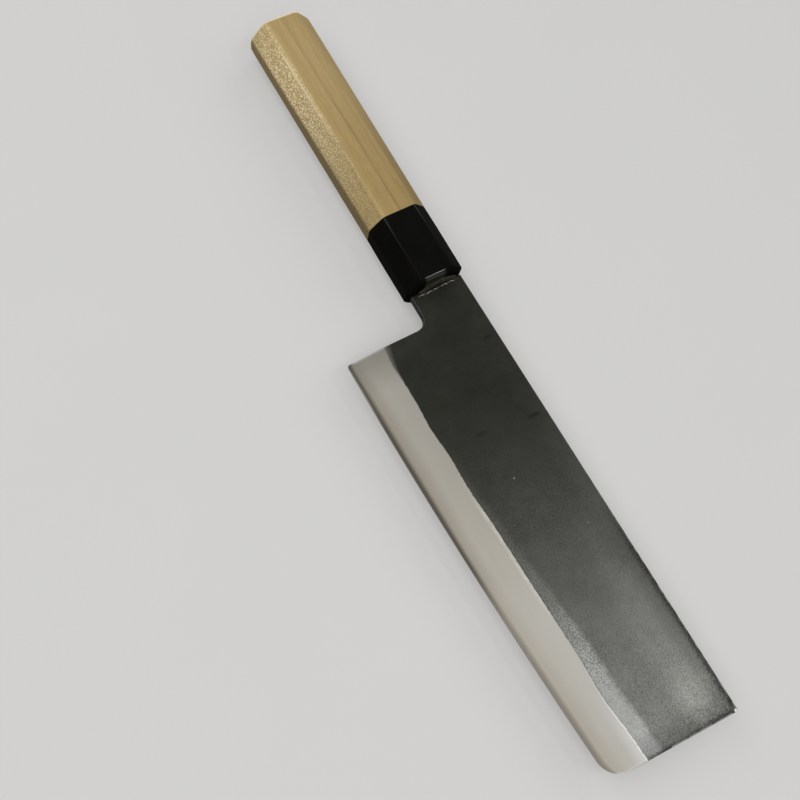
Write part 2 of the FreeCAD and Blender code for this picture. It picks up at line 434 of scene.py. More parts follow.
def blade_side(dips, seed):
    """Field and neck of one side: points (x, y), outer height, seam height and three measures in mm."""
    line_y = bevel_line(dips, seed)
    edge = on_curve(edge_y, column_share)
    line = on_curve(line_y, column_share)
    spine = on_curve(spine_y, column_share)
    notch_share = (-neck_drop - notch_round - line[0, 1]) / (spine[0, 1] - line[0, 1])
    notch = between(line, spine, notch_share)

    # A flat grind rises to the smooth line, and its height where the real line crosses it is the ridge.
    smooth_width = smooth_line_y(line[:, 0]) - edge_y(line[:, 0])
    full_rise = half_face(line[:, 0], smooth_line_y(line[:, 0])) - edge_thickness / 2
    ridge = edge_thickness / 2 + full_rise * (line[:, 1] - edge_y(line[:, 0])) / smooth_width
    seam = half_core(line[:, 0])
    core_share = (seam - edge_thickness / 2) / (ridge - edge_thickness / 2)

    strip = strip_share[:, None] * core_share
    bevel = core_share + (1 - core_share) * bevel_share[1:, None]
    rise = np.concatenate([strip, bevel])
    ground = edge + (line - edge) * rise[..., None]
    lower = rows_between(line, notch, lower_share[1:])
    upper = rows_between(notch, spine, upper_share[1:])
    forged = np.concatenate([lower, upper])
    field = np.concatenate([ground, forged])
    ground_height = edge_thickness / 2 + rise * (ridge - edge_thickness / 2)

    def face_height(x, y):
        """Forged face: its taper and hammer marks, drawn down to meet the grind and settling above it."""
        line_x = np.maximum(x, neck_length)
        above = np.maximum(y - line_y(line_x), 0)
        smooth_rise = half_face(line_x, smooth_line_y(line_x)) - edge_thickness / 2
        meets = edge_thickness / 2 + smooth_rise * (
            (line_y(line_x) - edge_y(line_x)) / (smooth_line_y(line_x) - edge_y(line_x)))
        settle = np.exp(-above / settle_length)
        return (half_face(x, y) + (meets - half_face(line_x, line_y(line_x))) * settle
                + hammer_marks(x, y, seed) * (1 - settle) * (x > 0))

    def measured(plan, outer, seam_height):
        """A grid with its rim rounded over, its corners bent, and its measures in mm."""
        x, y = plan[..., 0], plan[..., 1]
        rim = rim_distance(x, y)
        lowest = np.minimum(outer, seam_height)
        outer = np.maximum(outer - rim_drop(rim, np.maximum(outer - seam_height, 0)), lowest)
        line_x = np.maximum(x, neck_length)
        measures = [(y - line_y(line_x)) / mm, (y - edge_y(line_x)) / mm, rim / mm]
        return outline_rounds(plan), outer, seam_height, np.stack(measures, axis=-1)

    forged_height = face_height(forged[..., 0], forged[..., 1])
    field_outer = np.concatenate([ground_height, forged_height])
    neck = neck_plan()
    neck_outer = face_height(neck[..., 0], neck[..., 1])
    field_seam = np.broadcast_to(seam, field_outer.shape)
    neck_seam = np.broadcast_to(half_core(neck[0, :, 0]), neck_outer.shape)
    return measured(field, field_outer, field_seam), measured(neck, neck_outer, neck_seam)


right_side = blade_side(right_dips, right_seed)
left_side = blade_side(left_dips, left_seed)
print("field grid:", right_side[0][1].shape, "neck grid:", right_side[1][1].shape)

# %% [markdown]
# ## Three layers from two sides
# Each layer is closed by two faces and a wall that runs once round its outline. A cladding's faces are
# the outer face and the seam of its side, and they meet in a feather edge above the steel's strip. The
# core's faces are the seams of both sides, and below the strip's line the ground bevel itself.

# %% Layers of the blade
strip_rows = strip_share.size - 1
notch_row = strip_rows + bevel_share.size + lower_share.size - 2
core_sharp_angle = np.radians(2)


def sheet_of(plan, height, measures):
    """A sheet of points (x, y, z, measures)."""
    return np.concatenate([plan, height[..., None], measures], axis=-1)


def outline_of(field, neck, first_row):
    """The border of field and neck as one closed line: heel, notch, neck, tang, spine, tip and edge."""
    heel = field[first_row:notch_row + 1, 0]
    lower = neck[0, 1:]
    tang_end = neck[1:, -1]
    upper = neck[-1, -2::-1]
    top = field[-1, 1:]
    tip = field[-2:first_row - 1 if first_row else None:-1, -1]
    bottom = field[first_row, -2::-1]
    return np.concatenate([heel, lower, tang_end, upper, top, tip, bottom])


def layer_sheets(upper, lower, first_row):
    """Sheets of a layer between an upper and a lower pair of field and neck grids."""
    wall = np.stack([outline_of(*upper, first_row), outline_of(*lower, first_row)])
    return [upper[0][first_row:], upper[1], lower[0][first_row:], lower[1], wall]


def cladding_sheets(side, sign):
    """Sheets of an iron layer, between the outer face and the seam of its side, above the steel's strip."""
    outer = [sheet_of(plan, sign * outer, measures) for plan, outer, seam, measures in side]
    inner = [sheet_of(plan, sign * seam, measures) for plan, outer, seam, measures in side]
    return layer_sheets(outer, inner, strip_rows)


def core_faces(side, sign):
    """The steel's face on one side: the bevel up to the strip's line, and the seam above it."""
    return [sheet_of(plan, sign * np.minimum(outer, seam), measures) for plan, outer, seam, measures in side]


blade_core = make_piece("blade_core", layer_sheets(core_faces(right_side, 1), core_faces(left_side, -1), 0),
                        blade_measures, "core_steel", core_sharp_angle)
blade_right = make_piece("blade_right_layer", cladding_sheets(right_side, 1),
                         blade_measures, "right_cladding")
blade_left = make_piece("blade_left_layer", cladding_sheets(left_side, -1),
                        blade_measures, "left_cladding")

# %% [markdown]
# ## Rings across the handle
# The grip and the ferrule are octagons that widen towards the butt. A ring is one such octagon with its
# corners rounded: each side is a line at some distance from the axis, and two neighbouring lines, moved
# in by the corner's radius, cross at the centre of the corner's arc. All rings are worked out at once.

# %% Rings
facet_lean = np.radians(49.6)
facet_front_rise = 5.9 * mm
facet_butt_rise = 7.0 * mm
butt_chamfer = 0.8 * mm
facet_round = 2.6 * mm
tenon_height = 17.0 * mm
tenon_thickness = 12.0 * mm
arc_points = 9
flat_shares = np.array([0.04, 0.2, 0.4, 0.6, 0.8, 0.96])
joint_width = ferrule_high[1] - ferrule_low[1]
butt_width = grip_high[1] - grip_low[1]
widening = (butt_width - joint_width) / (handle_length - butt_chamfer - ferrule_length)
front_width = joint_width - widening * ferrule_length


def octagon_rings(x, inset, corner):
    """Rounded octagons (y, z), one ring for each x, inset and corner radius; the last point is the first."""
    x, inset, corner = np.broadcast_arrays(*[np.asarray(v, float) for v in (x, inset, corner)])
    side = (front_width - widening * x) / 2
    flat = np.full(x.shape, handle_thickness / 2)
    rise = between(facet_front_rise, facet_butt_rise, -x / handle_length)
    facet = side * np.sin(facet_lean) + (flat - rise) * np.cos(facet_lean)
    reach = np.stack([side, facet, flat, facet] * 2, axis=-1) - (inset + corner)[..., None]
    quarter = np.array([0, np.pi / 2 - facet_lean, np.pi / 2, np.pi / 2 + facet_lean])
    heading = np.concatenate([quarter, quarter + np.pi])
    turn = np.diff(np.append(heading, 2 * np.pi))
    following = np.roll(heading, -1)
    next_reach = np.roll(reach, -1, axis=-1)
    centre_y = (reach * np.sin(following) - next_reach * np.sin(heading)) / np.sin(turn)
    centre_z = (next_reach * np.cos(heading) - reach * np.cos(following)) / np.sin(turn)
    angle = heading[:, None] + turn[:, None] * np.linspace(0, 1, arc_points)
    radius = corner[..., None, None]
    arcs = np.stack([centre_y[..., None] + radius * np.cos(angle),
                     centre_z[..., None] + radius * np.sin(angle)], axis=-1)
    ends, starts = arcs[..., -1, :], np.roll(arcs[..., 0, :], -1, axis=-2)
    flats = ends[..., None, :] + (starts - ends)[..., None, :] * flat_shares[:, None]
    ring = np.concatenate([arcs, flats], axis=-2).reshape(x.shape + (-1, 2))
    return np.concatenate([ring, ring[..., :1, :]], axis=-2)


guide_ring = octagon_rings(0.0, 0.0, 0.5 * mm)
print("ring points:", guide_ring.shape[0], "front width, mm:", round(front_width / mm, 2))

# %% [markdown]
# ## Ovals, slots and paths
# Tenon and mouth are ovals, and the tang's hole is a slot. They are written as a radius for the direction
# of each point of the octagon, so all rings have matching points and can be joined row by row.

# %% Ovals, slots and paths
ring_angle = np.arctan2(guide_ring[:, 1], guide_ring[:, 0] - tang_height_offset)
ring_cosine, ring_sine = np.cos(ring_angle), np.sin(ring_angle)
tiny = 1e-6


def round_tang(radius):
    """Points round the tang's middle, at a radius for the direction of each ring point."""
    return np.stack([tang_height_offset + radius * ring_cosine, radius * ring_sine], axis=-1)


def oval_ring(height, thickness):
    """An oval: 1 over the length of the direction, measured in half heights and half thicknesses."""
    return round_tang(1 / np.hypot(ring_cosine * 2 / height, ring_sine * 2 / thickness))


def slot_ring(height, thickness):
    """A rectangle: the nearer of its two pairs of sides in each direction."""
    across = thickness / 2 / np.maximum(np.abs(ring_sine), tiny)
    along = height / 2 / np.maximum(np.abs(ring_cosine), tiny)
    return round_tang(np.minimum(across, along))


def ring_sheet(x, rings):
    """Rings (y, z) set at their x, as a sheet of points."""
    rings = np.asarray(rings)
    places = np.broadcast_to(np.asarray(x, float)[:, None], rings.shape[:2])
    return np.concatenate([places[..., None], rings], axis=-1)


def rounded_path(points, radius, steps=5):
    """A path with its inner corners replaced by short parabolas that start and end a radius away."""
    points = np.asarray(points, float)
    before, corner, after = points[:-2], points[1:-1], points[2:]
    inward = radius * (before - corner) / np.linalg.norm(before - corner, axis=1, keepdims=True)
    onward = radius * (after - corner) / np.linalg.norm(after - corner, axis=1, keepdims=True)
    share = np.linspace(0, 1, steps)[:, None, None]
    bends = corner + (1 - share) ** 2 * inward + share**2 * onward
    inner = bends.transpose(1, 0, 2).reshape(-1, points.shape[1])
    return np.concatenate([points[:1], inner, points[-1:]])


tenon_ring = oval_ring(tenon_height, tenon_thickness)
print("tenon ring, mm:", np.round(np.ptp(tenon_ring, axis=0) / mm, 2))

# %% [markdown]
# ## The wooden grip
# The maker planes the grip to eight flats, softens its long edges with paper, more so at the butt, and
# rounds the butt's rim. A tenon goes into the ferrule and a burnt-in hole takes the tang. All of it is one
# profile carried round: from the middle of the butt outwards, along the flats, in at the shoulder, along
# the tenon, and back through the hole to its end.

# %% Grip
joint_edge = 0.1 * mm
butt_crown = 0.25 * mm
tenon_chamfer = 0.4 * mm
tenon_end = grip_high[0] - knife_origin[0]
tang_gap = 0.15 * mm
tang_end_gap = 3.0 * mm
butt_round = 4.5 * mm
butt_ease = 4.0 * mm


def edge_round(x, start, length, first, last):
    """Radius of the long edges, easing from the first to the last over a length that begins at start."""
    share = np.clip((np.asarray(x) - start) / length, 0, 1)
    return between(first, last, share**2 * (3 - 2 * share))


def wood_round(x):
    """Radius of the grip's long edges, which are sanded rounder at the butt."""
    return edge_round(x, -handle_length, butt_ease, butt_round, facet_round)


def grip_sheets():
    """The grip as rings: crowned butt, rounded butt edge, tapering flats, shoulder, tenon and tang hole."""
    butt_share = np.array([0.0, 0.25, 0.5, 0.75, 0.92])
    rim = octagon_rings(-handle_length, butt_chamfer, butt_round)
    crown = [rim * share for share in butt_share]
    crown_x = -handle_length + butt_crown * butt_share**2
    corner = rounded_path([[butt_crown, butt_chamfer], [butt_crown * 0.9 + 0.2 * mm, butt_chamfer * 0.42],
                           [butt_chamfer, 0.0], [butt_chamfer + 1.2 * mm, 0.0]], 0.22 * mm)
    corner_x = corner[:, 0] - handle_length
    corner_rings = octagon_rings(corner_x, corner[:, 1], wood_round(corner_x))
    body_x = np.linspace(butt_chamfer + 2 * mm - handle_length, -ferrule_length - joint_edge, 40)
    body_rings = octagon_rings(body_x, 0.0, wood_round(body_x))
    shoulder = octagon_rings(-ferrule_length, joint_edge, facet_round)
    tenon_tip = oval_ring(tenon_height - 2 * tenon_chamfer, tenon_thickness - 2 * tenon_chamfer)
    hole_x = np.linspace(tenon_end, -tang_length - tang_end_gap, 8)
    hole_share = -hole_x / (tang_length + tang_end_gap)
    hole_height = between(tang_root_height, tang_end_height, hole_share) + 2 * tang_gap
    hole_thickness = between(spine_root_thickness, tang_end_thickness, hole_share) + 2 * tang_gap
    holes = [slot_ring(*sizes) for sizes in zip(hole_height, hole_thickness)]
    tenon_x = [-ferrule_length, tenon_end - tenon_chamfer, tenon_end]
    x = np.concatenate([crown_x, corner_x, body_x, [-ferrule_length], tenon_x, hole_x, hole_x[-1:]])
    inner = [shoulder, tenon_ring, tenon_ring, tenon_tip] + holes
    rings = crown + list(corner_rings) + list(body_rings) + inner
    hole_end = np.broadcast_to([tang_height_offset, 0.0], holes[-1].shape)
    return [ring_sheet(x, rings + [hole_end])]


grip = make_piece("wood_grip", grip_sheets(), [], "handle_grip")

# %% [markdown]
# ## The horn ferrule
# The ferrule is a collar of buffalo horn, polished. At the joint it is sanded together with the wood, so
# its long edges are as round as the wood's there and crisper in front. Its front edge slopes in and is
# buffed round, which is where the light catches. In section it is a closed loop: outside, nose, front
# face, mouth, socket and back, carried once round the handle.

# %% Ferrule
nose_length = 1.2 * mm
nose_depth = 1.5 * mm
face_inset = nose_depth + 0.8 * mm
horn_round = 0.9 * mm
horn_ease = 10.0 * mm
mouth_bevel = 0.25 * mm
seal_gap = 0.05 * mm
mouth_height = seal_high[1] - seal_low[1] + 2 * seal_gap
mouth_thickness = seal_high[2] - seal_low[2] + 2 * seal_gap
front_wall = 7.2 * mm
socket_height = 17.2 * mm
socket_thickness = 12.2 * mm


def ferrule_sheets():
    """The ferrule as rings: octagons along a path of x and inset, then front face, mouth, socket and back."""
    outside = np.linspace(-ferrule_length + joint_edge, -nose_length - 1.5 * mm, 16)
    nose = rounded_path([[-nose_length - 1.2 * mm, 0.0], [-nose_length, 0.0], [0.0, nose_depth],
                         [0.0, face_inset]], 0.6 * mm, 11)
    path_x = np.append(outside, nose[:, 0])
    inset = np.append(np.zeros(outside.size), nose[:, 1])
    corner = edge_round(path_x, -ferrule_length, horn_ease, facet_round, horn_round)
    outer = octagon_rings(path_x, inset, corner)
    face = octagon_rings(0.0, face_inset, horn_round)
    lip = oval_ring(mouth_height + 2 * mouth_bevel, mouth_thickness + 2 * mouth_bevel)
    mouth = oval_ring(mouth_height, mouth_thickness)
    socket = oval_ring(socket_height, socket_thickness)
    back = octagon_rings(-ferrule_length, joint_edge, facet_round)
    face_rings = [between(face, lip, share) for share in (0.4, 0.8, 1.0)]
    rings = list(outer) + face_rings + [mouth, mouth, socket, socket, back, outer[0]]
    face_x = [0.0] * len(face_rings)
    inner_x = [-0.2 * mm, -front_wall, -front_wall, -ferrule_length, -ferrule_length, path_x[0]]
    return [ring_sheet(np.concatenate([path_x, face_x, inner_x]), rings)]


ferrule = make_piece("horn_ferrule", ferrule_sheets(), [], "ferrule")

# %% [markdown]
# ## The resin in the ferrule's mouth
# The mouth around the tang is filled with resin. In front it rises to the blade's face in a hollow curve
# and ends in a thin ragged lip, where the maker wiped it off. The lip is longer or shorter in each
# direction round the tang, and it dies away at the two ends, where the blade's faces leave the oval.

# %% Seal
seal_points = 480
lip_length = 1.3 * mm
lip_lean = 0.12
lip_unevenness = 0.16
lip_smear = 0.14
lip_shift = 0.5 * mm
lip_seed = 3
blade_root_half = spine_root_thickness / 2 - 0.03 * mm


def seal_sheets():
    """The resin as rings: plug wall, hollow slope to the ragged lip, blade's face, tang wall and rear.
    A ring is a radius for each direction. The lip lies where the blade's flat face cuts the direction, and
    the slope's height follows the width of resin there, so it is nothing where the face leaves the oval."""
    half_height, half_thick = mouth_height / 2 - seal_gap, mouth_thickness / 2 - seal_gap
    turn = np.linspace(0, 2 * np.pi, seal_points + 1)
    wall_y, wall_z = half_height * np.cos(turn), half_thick * np.sin(turn)
    wall = np.hypot(wall_y, wall_z)
    cosine, sine = wall_y / wall, wall_z / wall
    face = blade_root_half / np.maximum(np.abs(sine), tiny)
    lip_ring = np.minimum(wall, face)
    tang_ring = np.minimum(face, tang_root_height / 2 / np.maximum(np.abs(cosine), tiny))
    width = np.clip((wall - lip_ring) / (0.3 * mm), 0, 1)
    uneven = lip_unevenness * ragged(turn * half_height, lip_seed, 1.0, 3 * mm, 0.3 * mm)
    lip_x = lip_length * (1 - lip_lean * cosine + uneven) * width
    share = np.linspace(0, 1, 16)[:, None]
    slope = wall + (lip_ring - wall) * share
    slope_x = lip_x * share**1.8
    rear = np.full(turn.size, -front_wall)
    flush = np.zeros(turn.size)
    radius = np.stack([wall, *slope, lip_ring, tang_ring, tang_ring, wall])
    x = np.stack([rear, *slope_x, flush, flush, rear, rear])
    lip_share = np.stack([flush, *np.broadcast_to(share, slope.shape), flush, flush, flush, flush])
    lip_share = lip_share * width
    y = tang_height_offset + radius * cosine * (1 + lip_smear * lip_share**2) - lip_shift * lip_share**2
    return [np.stack([x, y, radius * sine, lip_share], axis=-1)]


seal = make_piece("resin_seal", seal_sheets(), ["lip_share"], "tang_seal")

# %% [markdown]
# ## Finishes as arithmetic
# A finish is a net of nodes in front of one Principled shader. Drawn by hand, such a net is hard to read.
# Here a value stands for the output of a node, and arithmetic on values adds the nodes that do the sum, so
# that each finish below reads as a few formulas. A smooth step does most of the work: it says where along
# the blade or the handle something begins and ends.

# %% Values and the nodes that make them
def fill(node, inputs):
    """Writes each number or colour into its input of a node, and links each value to it."""
    for name, value in inputs.items():
        if isinstance(value, Value):
            value.tree.links.new(value.socket, node.inputs[name])
        else:
            node.inputs[name].default_value = value
    return node


def add_node(tree, kind, inputs, output=0, **settings):
    """A new node with its settings and inputs, as the value of one of its outputs."""
    node = tree.nodes.new("ShaderNode" + kind)
    for name, setting in settings.items():
        setattr(node, name, setting)
    return Value(fill(node, inputs).outputs[output])


def math_node(operation, swapped=False):
    """A method that adds a Math node for one operation, with the other value second or, swapped, first."""
    def method(self, other=0.0):
        first, second = (other, self) if swapped else (self, other)
        return add_node(self.tree, "Math", {0: first, 1: second}, operation=operation)
    return method


def opaque(colour):
    """A colour as a socket takes it: a value as it is, or three numbers and a full fourth one."""
    return colour if isinstance(colour, Value) else (*colour, 1.0)


class Value:
    """Something that changes over the surface: the output of a node."""

    def __init__(self, socket):
        self.socket = socket
        self.tree = socket.id_data

    __add__ = math_node("ADD")
    __radd__ = math_node("ADD", swapped=True)
    __sub__ = math_node("SUBTRACT")
    __rsub__ = math_node("SUBTRACT", swapped=True)
    __mul__ = math_node("MULTIPLY")
    __truediv__ = math_node("DIVIDE")
    __rtruediv__ = math_node("DIVIDE", swapped=True)
    __pow__ = math_node("POWER")
    __abs__ = math_node("ABSOLUTE")
    fraction = math_node("FRACT")
    at_most = math_node("MINIMUM")
    at_least = math_node("MAXIMUM")

    def smooth(self, start, end, low=0.0, high=1.0):
        """A smooth step from low to high while this value goes from start to end."""
        inputs = {"Value": self, "From Min": start, "From Max": end, "To Min": low, "To Max": high}
        return add_node(self.tree, "MapRange", inputs, interpolation_type="SMOOTHSTEP")

    def level(self, first, second):
        """A number that goes from the first to the second with this share."""
        return add_node(self.tree, "Mix", {0: self, 2: first, 3: second}, data_type="FLOAT")

    def blend(self, first, second):
        """A colour that goes from the first to the second with this share."""
        inputs = {0: self, 6: opaque(first), 7: opaque(second)}
        return add_node(self.tree, "Mix", inputs, 2, data_type="RGBA")

    def tint(self, colour):
        """A colour multiplied by this number."""
        grey = add_node(self.tree, "CombineColor", {0: self, 1: self, 2: self})
        inputs = {0: 1.0, 6: opaque(colour), 7: grey}
        return add_node(self.tree, "Mix", inputs, 2, data_type="RGBA", blend_type="MULTIPLY")

    def parts(self):
        """The three numbers of this vector."""
        first = add_node(self.tree, "SeparateXYZ", {0: self})
        return [Value(output) for output in first.socket.node.outputs]

    def noise(self, scale=1.0, detail=2.0, roughness=0.5):
        """Noise from 0 to 1 at this place, where scale is the number of grains in a millimetre."""
        inputs = {"Vector": self, "Scale": scale, "Detail": detail, "Roughness": roughness}
        return add_node(self.tree, "TexNoise", inputs)


print("operations on values:", [name for name in vars(Value) if not name.startswith("_")])

# %% [markdown]
# ## What a finish can read
# A finish may read the place on the piece, a measure that rides on its points, and the direction of its
# surface. Places are Object coordinates in millimetres, so a size in a finish is the size on the knife. A
# place can be centred, turned and stretched for a pattern. None of this depends on the camera, so the
# finish stays the same from every side.

# %% Places, measures, normals and the dressing of a piece
def place(tree, centre=(0, 0, 0), turn=(0, 0, 0), scale=(1, 1, 1)):
    """Object coordinates in millimetres from a centre in metres, turned and stretched for a pattern."""
    spot = add_node(tree, "TexCoord", {}, "Object")
    spot = add_node(tree, "Mapping", {"Vector": spot, "Location": [-along for along in centre]})
    spot = add_node(tree, "Mapping", {"Vector": spot, "Rotation": turn})
    return add_node(tree, "Mapping", {"Vector": spot, "Scale": [share / mm for share in scale]})


def measure(tree, name):
    """A measure of the piece, by the name that the piece maker gave it."""
    return add_node(tree, "Attribute", {}, "Fac", attribute_name=name)


def outward(tree):
    """The direction of the surface."""
    return add_node(tree, "NewGeometry", {}, "Normal")


def bump(height, depth):
    """A normal from a height of 0 to 1 that stands for a depth in metres."""
    return add_node(height.tree, "Bump", {"Height": height, "Distance": depth, "Strength": 1.0})


def dress(pieces, name, finish):
    """Puts a new material on pieces; the finish is a function that gives its shader's inputs."""
    material = bpy.data.materials.new(name)
    material.use_nodes = True
    tree = material.node_tree
    fill(tree.nodes["Principled BSDF"], finish(tree))
    for piece in pieces:
        piece.data.materials.append(material)
    print(name, "has", len(tree.nodes), "nodes, on", [piece.name for piece in pieces])


# %% [markdown]
# ## Effects that finishes share
# Mottle is a slow unevenness of tone, as on any stained, oiled or hand-rubbed surface. Brushed is a field
# of fine straight marks, as a stone or a buffing wheel leaves. Each is built once, as a node group with
# its own size and strength, and every finish that needs it places the same group with other numbers.

# %% Mottle and brushed
def new_effect(name, inputs, output, kind="Float"):
    """The inputs of a new effect, a place and numbers with usual values, as values; one output leaves it."""
    tree = bpy.data.node_groups.new(name, "ShaderNodeTree")
    tree.interface.new_socket("Place", in_out="INPUT", socket_type="NodeSocketVector")
    for label, usual in inputs.items():
        made = tree.interface.new_socket(label, in_out="INPUT", socket_type="NodeSocketFloat")
        made.default_value = usual
    tree.interface.new_socket(output, in_out="OUTPUT", socket_type="NodeSocket" + kind)
    entry = tree.nodes.new("NodeGroupInput").outputs
    return [Value(entry[label]) for label in ["Place", *inputs]]


def effect_from(result):
    """The effect whose output is a result made from its inputs."""
    fill(result.tree.nodes.new("NodeGroupOutput"), {0: result})
    return result.tree


def use(effect, spot, **inputs):
    """An effect at a place, with its own values for some of the inputs."""
    return add_node(spot.tree, "Group", {"Place": spot, **inputs}, node_tree=effect)


def mottle_effect():
    """Tone from -1 to 1: noise of a given size, stretched away from its middle value."""
    spot, size, contrast = new_effect("mottle", {"Size": 10.0, "Contrast": 2.0}, "Tone")
    tone = (spot.noise(1.0 / size, 3.0, 0.55) - 0.5) * contrast * 2.0
    return effect_from(tone.at_least(-1.0).at_most(1.0))


def brushed_effect():
    """Tone from -1 to 1: noise squeezed across x and drawn out along it, so that it makes fine marks."""
    spot, width, length = new_effect("brushed", {"Width": 0.2, "Length": 12.0}, "Tone")
    x, y, z = spot.parts()
    drawn = add_node(spot.tree, "CombineXYZ", {0: x / length, 1: y / width, 2: z / width})
    return effect_from(((drawn.noise() - 0.5) * 3.0).at_least(-1.0).at_most(1.0))


mottle = mottle_effect()
brushed = brushed_effect()
print("shared effects:", mottle.name, brushed.name)

# %% [markdown]
# ## Ground metal
# Iron and steel meet on the bevel and are ground on the same stones, so they share one tone: satin grey,
# with fine marks along the blade. Along the edge runs the strip that is sharpened last. It is warmer, and
# it is darker as painted shade for the darker light that this strip mirrors on the real blade; it is narrow
# at the heel and fades towards the tip. The edge itself is a hairline of painted highlight.

# %% Ground metal
open_grey = (0.383, 0.363, 0.318)
open_cool = (0.384, 0.370, 0.336)
strip_warm = (0.385, 0.352, 0.298)
strip_shade = (0.055, 0.048, 0.036)
edge_highlight_grey = (0.27, 0.255, 0.225)


def ground_effect():
    """Colour of ground metal, from the place, the distance along the blade and that from the edge, in mm."""
    inputs = {"Along": 0.0, "Edge": 0.0}
    spot, along, edge_distance = new_effect("ground_metal", inputs, "Colour", "Color")
    narrow = along.smooth(13, 34, 0.78, 1) * along.smooth(68, 95, 1, 0.85) * along.smooth(100, 125, 1, 1.22)
    edge = edge_distance / narrow
    opened = edge.smooth(0.4, 2.9, 0, along.smooth(92, 118, 0.76, 0.5))
    opened = opened + along.smooth(92, 118, 0, 0.38) + along.smooth(28, 15, 0, 0.1)
    # Painted shade: the strip next to the edge is darkened.
    colour = opened.at_most(1.0).blend(strip_shade, strip_warm)
    # Painted highlight: a hairline of light along the edge itself.
    hairline = edge.smooth(0.8, 0.45) * along.smooth(40, 20, 0.25, 0.9)
    colour = hairline.blend(colour, edge_highlight_grey)
    wide_open = along.smooth(92, 125).blend(open_grey, open_cool)
    colour = edge.smooth(2.4, 8).blend(colour, wide_open)

    # Brighter in the middle of the blade, darker at the heel and a little darker towards the tip.
    cut = along.smooth(11, 30, 0.65, 1) * along.smooth(30, 115, 1, 1.19) * along.smooth(120, 170, 1, 0.84)
    marks = use(brushed, spot, Width=0.16, Length=14.0)
    wide = use(mottle, spot, Size=20.0, Contrast=1.5)
    shoulder = edge.smooth(2, 2.5) * edge.smooth(3.1, 2.6) * along.smooth(100, 125)
    tone = marks * 0.03 + wide * 0.03 + shoulder * 0.05 + 1.0
    return effect_from((tone * cut).tint(colour))


ground_metal = ground_effect()
print("ground metal:", len(ground_metal.nodes), "nodes")

# %% [markdown]
# ## Forge scale
# The flat of the blade keeps the skin of oxide that forging leaves, dark with a dull metallic sheen. It
# is darkest at the heel and paler towards the tip, partly from wear and partly as painted light for the
# lamp that it mirrors near the tip. Towards the tip and along the bevel line it is rubbed through to grey
# grains.
# A long formula in x gives each of these its place, and mottle of three sizes gives the grains.

# %% Tone of the scale
scale_heel = (0.041, 0.042, 0.034)
scale_tip = (0.155, 0.156, 0.144)
band_grey = (0.32, 0.335, 0.335)


def soft_mark(tree, centre, half_length, half_width):
    """Mask of a soft mark across the blade: 1 in its middle, 0 at the rim of an ellipse; lengths in mm."""
    middle = np.append(np.array(centre) * mm, 0.0) + knife_origin
    spot = place(tree, middle, scale=(1 / half_width, 1 / half_length, 0))
    distance = add_node(tree, "VectorMath", {0: spot}, "Value", operation="LENGTH")
    return distance.smooth(1, 0.25)


def scale_tone(spot, x, line):
    """Colour of the scale before its marks: dark at the heel, grey at the tip, partly as painted light, worn
    in a band at the line.
    """
    cloud = use(mottle, spot, Size=12.0, Contrast=2.2)
    patch = use(mottle, spot, Size=3.5, Contrast=1.6)
    grain = use(mottle, spot, Size=0.42, Contrast=2.4)
    width = x.smooth(70, 160, 3.5, 7.3) + patch * 0.6
    band = (line / width).smooth(1, x.smooth(75, 125, 0.05, 0.6))
    worn = x.smooth(44, 80, 0, 0.45) + x.smooth(115, 150, 0, 0.5) - x.smooth(160, 174, 0, 0.45)
    brightened = soft_mark(spot.tree, (145, 1), 10, 50) * 0.2 + soft_mark(spot.tree, (164, 3), 8.5, 16) * 0.28
    # Dark at the heel and paler at the tip: partly wear, partly painted light.
    colour = x.smooth(38, 175).blend(scale_heel, scale_tip)
    colour = (brightened + worn * band + 1.0).tint(colour)
    colour = (band * x.smooth(110, 150, 0, 0.35)).blend(colour, band_grey)

    # The grain is coarser towards the tip and in the band, except at the band's far end.
    coarse = x.smooth(30, 150, 0.1, 0.34) + x.smooth(158, 174, 0, 0.16)
    in_band = x.smooth(62, 92, 0, 0.34) * x.smooth(156, 138) - x.smooth(138, 156, 0, 0.1)
    tone = cloud * 0.1 + patch * 0.08 + grain * (coarse + band * in_band) + 1.0
    return tone.tint(colour)


print("scale from", scale_heel, "at the heel to", scale_tip, "at the tip")

# %% [markdown]
# ## Marks on the scale
# Forging and use leave marks: a dark rim along spine and tip, which is partly thicker scale and partly
# painted shade, a few smudges, two small nicks, and edges worn bright. Painted shade also darkens the scale
# towards the spine, just above the bevel line and at the very tip, and a painted highlight sits on the tip
# corner. Smudges and nicks are lists, because each has its own place. The rim and the worn edges follow the
# measure of distance from the outline.

# %% Scale with its marks
smudge_dark = (0.02, 0.02, 0.017)
worn_grey = (0.34, 0.34, 0.325)
painted_highlight_grey = (0.68, 0.675, 0.65)

# A mark is its centre in the knife's axes, its half length across the blade and its half width, in mm.
# Smudges and nicks also have a strength.
smudges = [((26.2, 7.0), 3.2, 1.1, 0.5), ((59.3, 6.3), 3.8, 1.2, 0.65), ((56.5, -14.1), 3.2, 1.1, 0.4)]
nicks = [((75.55, -12.2), 0.42, 0.42, 0.8), ((101.0, 2.5), 0.4, 0.4, 0.8)]
# The tip corner carries a painted highlight.
tip_corner = ((177.2, 12.45), 0.8, 1.1)


